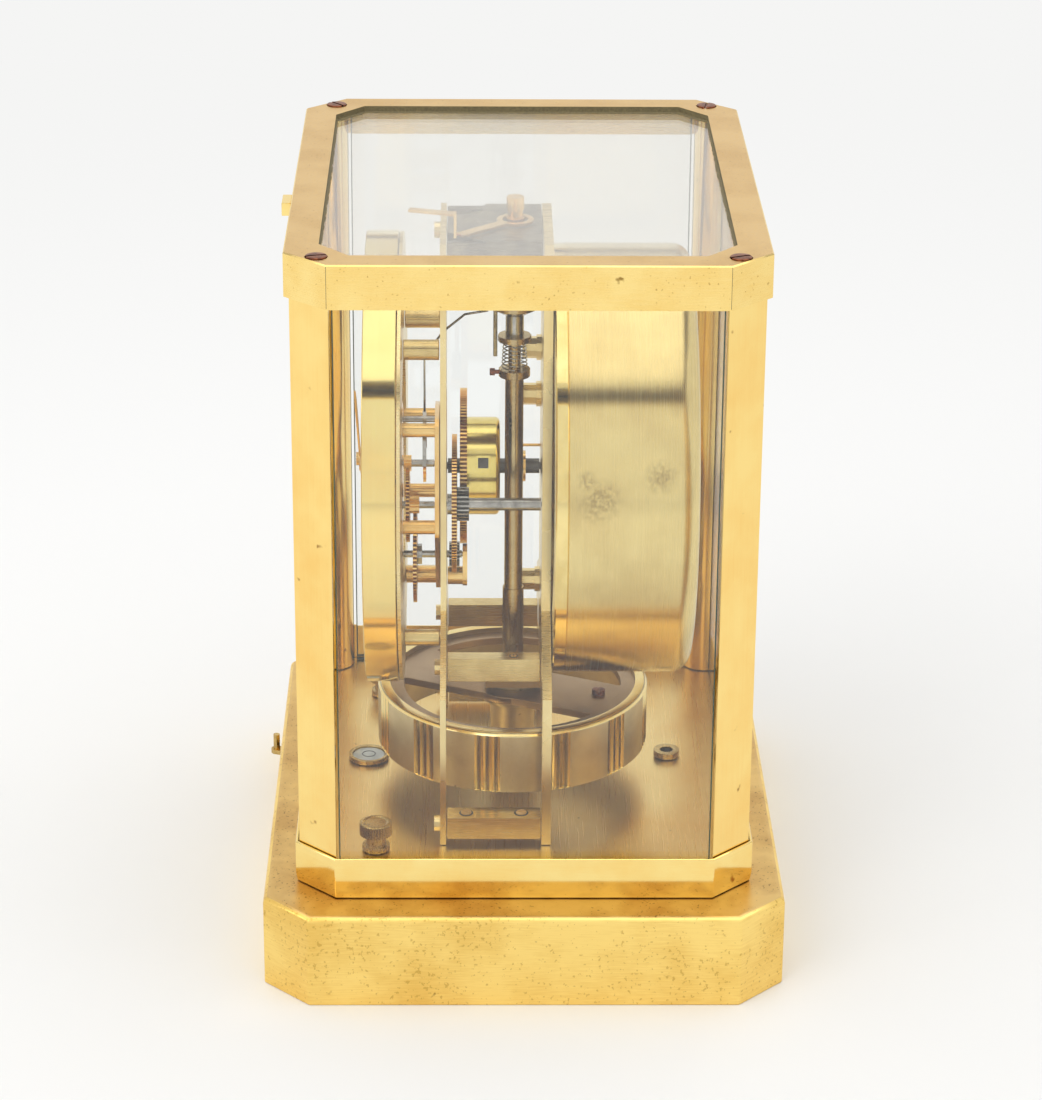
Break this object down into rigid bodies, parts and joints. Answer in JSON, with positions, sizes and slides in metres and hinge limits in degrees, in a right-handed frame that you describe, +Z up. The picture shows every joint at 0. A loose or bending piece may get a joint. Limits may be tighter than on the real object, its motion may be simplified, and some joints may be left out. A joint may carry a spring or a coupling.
{
  "type": "atmospheric clock",
  "caption": "Glazed brass atmospheric clock with a chapter ring, a going train, a slow rotary pendulum on a thin wire and a bellows drum that winds it.",
  "frame": {"origin": "centre of the base's underside, the face the clock stands on", "axes": "+Z up, +X to the right seen from the dial's side, +Y from the dial towards the bellows drum"},
  "size_m": [0.21, 0.17, 0.2405],
  "materials": {
    "polished_brass": "polished",
    "satin_brass": "satin, lightly tarnished",
    "brushed_brass": "brushed",
    "plate_brass": "brushed",
    "wheel_brass": "satin",
    "pendulum_brass": "satin with polished flutes",
    "tube_bronze": "aged",
    "steel": "polished",
    "copper_screw": "oxidised",
    "clear_glass": "clear",
    "level_glass": "gloss"
  },
  "bodies": {
    "case": {"lower_frame": "polished_brass", "corner_post_front_left": "polished_brass", "corner_post_front_right": "polished_brass", "corner_post_rear_left": "polished_brass", "corner_post_rear_right": "polished_brass", "dial_ring": "polished_brass", "base_shell": "satin_brass", "base_bottom_plate": "satin_brass", "top_frame": "satin_brass", "floor_plate": "brushed_brass", "bellows_drum": "brushed_brass", "front_plate": "plate_brass", "back_plate": "plate_brass", "foot_block_left": "plate_brass", "foot_block_right": "plate_brass", "bridge_block_left": "plate_brass", "bridge_block_right": "plate_brass", "suspension_bridge": "plate_brass", "dial_backing": "plate_brass", "dial_pillar_upper_left": "plate_brass", "dial_pillar_upper_right": "plate_brass", "dial_pillar_lower_left": "plate_brass", "dial_pillar_lower_right": "plate_brass", "third_wheel_cock": "plate_brass", "sub_plate_front": "wheel_brass", "sub_plate_rear": "wheel_brass", "suspension_nut": "wheel_brass", "winding_chain": "wheel_brass", "rear_foot": "tube_bronze", "bellows_spring": "steel", "frame_screw_front_left": "copper_screw", "frame_screw_front_right": "copper_screw", "frame_screw_rear_left": "copper_screw", "frame_screw_rear_right": "copper_screw", "side_glass_left": "clear_glass", "side_glass_right": "clear_glass", "rear_glass": "clear_glass", "top_glass": "clear_glass", "spirit_level": "level_glass"},
    "door": {"door_glass": "clear_glass", "door_rail": "polished_brass"},
    "levelling_left": {"levelling_screw_left": "tube_bronze"},
    "levelling_right": {"levelling_screw_right": "tube_bronze"},
    "lock": {"lock_lever": "tube_bronze"},
    "regulator": {"regulator_lever": "wheel_brass"},
    "pendulum": {"pendulum_ring": "pendulum_brass", "pendulum_hub": "pendulum_brass", "suspension_tube": "tube_bronze", "suspension_spring": "steel", "locking_cone": "steel"},
    "barrel": {"mainspring_barrel": "wheel_brass"},
    "intermediate": {"intermediate_wheel": "wheel_brass"},
    "third": {"third_wheel": "wheel_brass"},
    "fourth": {"fourth_wheel": "wheel_brass"},
    "escape": {"escape_wheel": "steel"},
    "pallets": {"pallet_fork": "steel"},
    "hour": {"hour_hand": "wheel_brass"},
    "minute": {"minute_hand": "wheel_brass"},
    "bellows": {"bellows_capsule": "wheel_brass"},
    "winding": {"winding_arbor": "steel"}
  },
  "joints": [
    {"name": "door_tilt", "type": "hinge", "parent": "case", "child": "door", "pos_m": [0, -0.07125, 0.0453], "axis": [1, 0, 0], "range_deg": [0, 20]},
    {"name": "levelling_left_turn", "type": "hinge", "parent": "case", "child": "levelling_left", "pos_m": [-0.0595, -0.0475, 0.02], "axis": [0, 0, 1], "continuous": true},
    {"name": "levelling_right_turn", "type": "hinge", "parent": "case", "child": "levelling_right", "pos_m": [0.0595, -0.0475, 0.02], "axis": [0, 0, 1], "continuous": true},
    {"name": "lock_swing", "type": "hinge", "parent": "case", "child": "lock", "pos_m": [-0.035, -0.045, 0.0148], "axis": [0, 0, 1], "range_deg": [0, 38]},
    {"name": "regulator_turn", "type": "hinge", "parent": "case", "child": "regulator", "pos_m": [0, -0.003, 0.2236], "axis": [0, 0, 1], "range_deg": [-8, 8]},
    {"name": "pendulum_turn", "type": "hinge", "parent": "case", "child": "pendulum", "pos_m": [0, -0.003, 0.055], "axis": [0, 0, 1], "range_deg": [-300, 300]},
    {"name": "minute_spin", "type": "hinge", "parent": "case", "child": "minute", "pos_m": [0, 0, 0.1444], "axis": [0, 1, 0], "continuous": true},
    {"name": "hour_spin", "type": "hinge", "parent": "case", "child": "hour", "pos_m": [0, 0, 0.1444], "axis": [0, 1, 0], "continuous": true},
    {"name": "fourth_spin", "type": "hinge", "parent": "case", "child": "fourth", "pos_m": [0.00634, 0, 0.13077], "axis": [0, 1, 0], "continuous": true},
    {"name": "escape_spin", "type": "hinge", "parent": "case", "child": "escape", "pos_m": [0.00523, 0, 0.14489], "axis": [0, 1, 0], "continuous": true},
    {"name": "third_spin", "type": "hinge", "parent": "case", "child": "third", "pos_m": [0.00476, 0, 0.11276], "axis": [0, 1, 0], "continuous": true},
    {"name": "intermediate_spin", "type": "hinge", "parent": "case", "child": "intermediate", "pos_m": [0.01732, 0, 0.13541], "axis": [0, 1, 0], "continuous": true},
    {"name": "barrel_spin", "type": "hinge", "parent": "case", "child": "barrel", "pos_m": [-0.013, 0, 0.137], "axis": [0, 1, 0], "continuous": true},
    {"name": "pallet_rock", "type": "hinge", "parent": "case", "child": "pallets", "pos_m": [0.0047, 0, 0.15988], "axis": [0, 1, 0], "range_deg": [-4, 4]},
    {"name": "bellows_slide", "type": "slide", "parent": "case", "child": "bellows", "axis": [0, 1, 0], "range_m": [-0.001, 0.002]},
    {"name": "winding_turn", "type": "hinge", "parent": "case", "child": "winding", "pos_m": [-0.013, 0, 0.137], "axis": [0, 1, 0], "range_deg": [-25, 25]}
  ],
  "couplings": [
    {"joint": "fourth_spin", "follows": "minute_spin", "ratio": -1},
    {"joint": "hour_spin", "follows": "minute_spin", "ratio": 0.083333},
    {"joint": "escape_spin", "follows": "minute_spin", "ratio": 5},
    {"joint": "third_spin", "follows": "minute_spin", "ratio": 0.16667},
    {"joint": "intermediate_spin", "follows": "minute_spin", "ratio": -0.027778},
    {"joint": "barrel_spin", "follows": "minute_spin", "ratio": 0.0055556}
  ]
}
